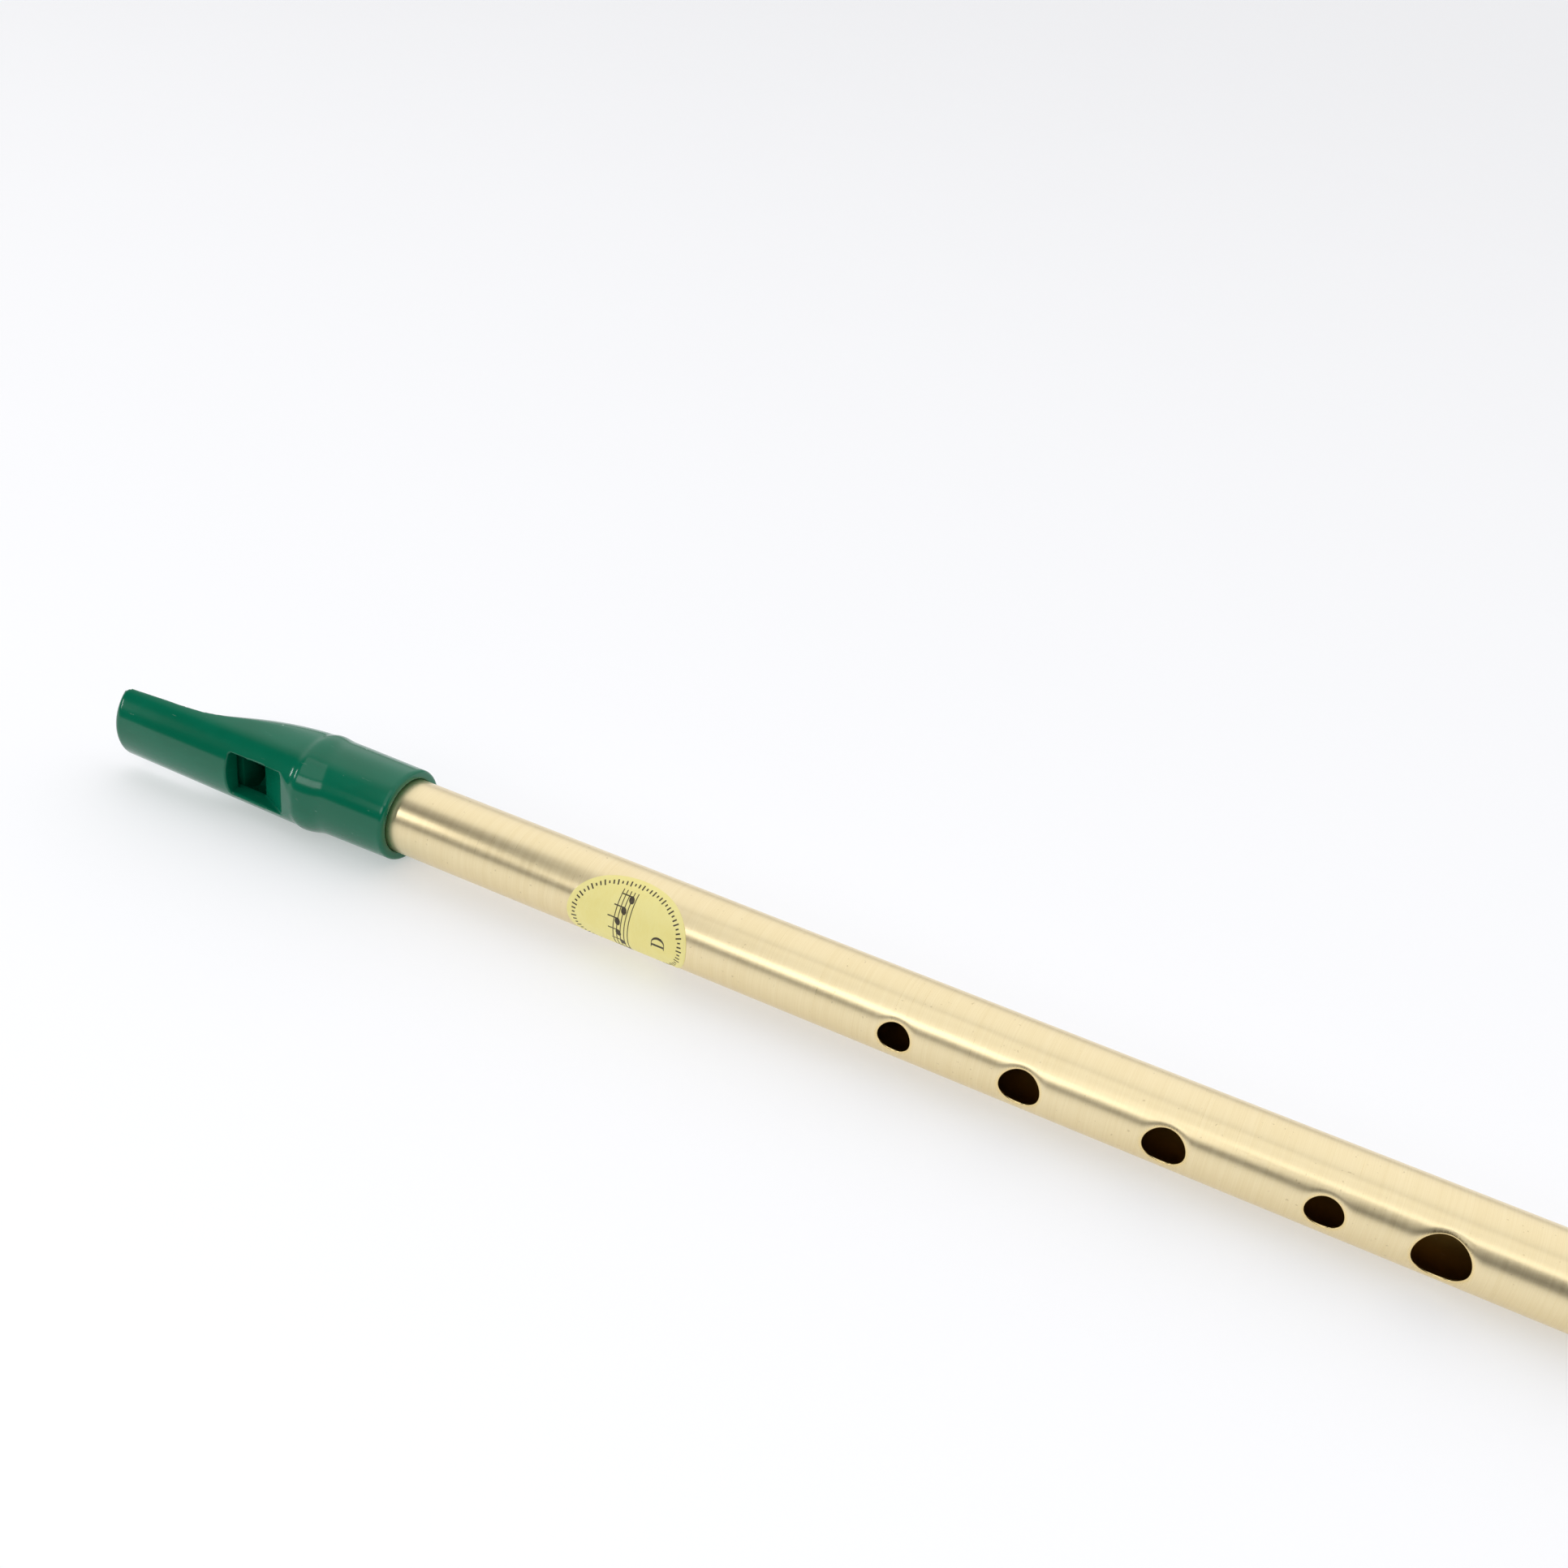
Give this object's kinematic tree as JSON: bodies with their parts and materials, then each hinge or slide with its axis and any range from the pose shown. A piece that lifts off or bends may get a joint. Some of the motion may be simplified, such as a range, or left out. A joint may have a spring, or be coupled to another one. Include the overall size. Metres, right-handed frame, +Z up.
{
  "type": "tin whistle",
  "caption": "High-D tin whistle: a brass tube with front finger holes and an oval paper label, and a moulded plastic mouthpiece head that slides on the tube for tuning.",
  "frame": {"origin": "on the tube's axis at its foot end", "axes": "+X along the tube's axis out of the foot, -Y out of the finger holes and the window, +Z up as the whistle lies on its side"},
  "size_m": [0.3001, 0.0174, 0.0174],
  "materials": {
    "tube_brass": "satin, brushed round the tube, with polished hole rims",
    "label_paper": "smooth printed yellow paper",
    "head_plastic": "glossy dark green moulding",
    "block_plastic": "glossy dark green moulding"
  },
  "bodies": {
    "tube": {"tube": "tube_brass", "label": "label_paper"},
    "head": {"mouthpiece_head": "head_plastic", "fipple_block": "block_plastic"}
  },
  "joints": [
    {"name": "head_slide", "type": "slide", "parent": "tube", "child": "head", "axis": [-1, 0, 0], "range_m": [0, 0.01]}
  ]
}
